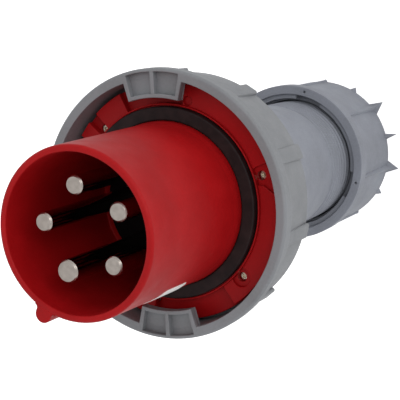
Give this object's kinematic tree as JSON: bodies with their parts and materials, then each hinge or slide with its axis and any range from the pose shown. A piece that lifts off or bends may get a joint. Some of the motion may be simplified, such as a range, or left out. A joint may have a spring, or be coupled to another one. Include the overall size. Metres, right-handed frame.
{
  "type": "industrial pin and sleeve plug",
  "caption": "Round high-current plug with pins in a keyed red shroud, a bayonet locking ring, a flanged housing and a finned cable gland nut.",
  "frame": {"origin": "middle of the rear face of the gland nut, which the plug stands on", "axes": "+Z along the plug axis towards the pins; +Y opposite the earth pin and the key; +X to the right of +Y seen when looking into the mouth"},
  "size_m": [0.1484, 0.1484, 0.32],
  "materials": {
    "red_polyamide": "satin moulded",
    "ring_polyamide": "satin moulded",
    "housing_polyamide": "satin moulded",
    "nut_polyamide": "satin moulded",
    "natural_polyamide": "satin moulded",
    "black_polyamide": "satin moulded",
    "black_rubber": "matt",
    "pin_metal": "nickel plated, polished",
    "screw_steel": "zinc plated",
    "label_film": "blank"
  },
  "bodies": {
    "plug": {"front_shroud": "red_polyamide", "blank_label": "label_film", "face_gasket": "black_rubber", "flange_screws": "screw_steel", "contact_carrier": "black_polyamide", "carrier_seal": "black_rubber", "carrier_back_plate": "black_polyamide", "carrier_screws": "screw_steel", "terminal_screws": "screw_steel", "rear_housing": "housing_polyamide", "housing_seal": "black_rubber", "gland_bush": "black_rubber", "gland_washer": "natural_polyamide", "gland_cage": "natural_polyamide", "pin_line_1": "pin_metal", "pin_line_2": "pin_metal", "pin_line_3": "pin_metal", "pin_neutral": "pin_metal", "pin_earth": "pin_metal"},
    "coupling_ring": {"bayonet_ring": "ring_polyamide"},
    "gland_pusher": {"thrust_ring": "natural_polyamide"},
    "nut": {"gland_nut": "nut_polyamide"}
  },
  "joints": [
    {"name": "ring_turn", "type": "hinge", "parent": "plug", "child": "coupling_ring", "pos_m": [0, 0, 0.215], "axis": [0, 0, 1], "range_deg": [0, 35]},
    {"name": "gland_travel", "type": "slide", "parent": "plug", "child": "gland_pusher", "axis": [0, 0, 1], "range_m": [-0.01205, 0]},
    {"name": "nut_turn", "type": "hinge", "parent": "gland_pusher", "child": "nut", "pos_m": [0, 0, 0.03], "axis": [0, 0, 1], "range_deg": [-964, 0]}
  ],
  "couplings": [
    {"joint": "gland_travel", "follows": "nut_turn", "m_per_rad": 0.0007162}
  ]
}
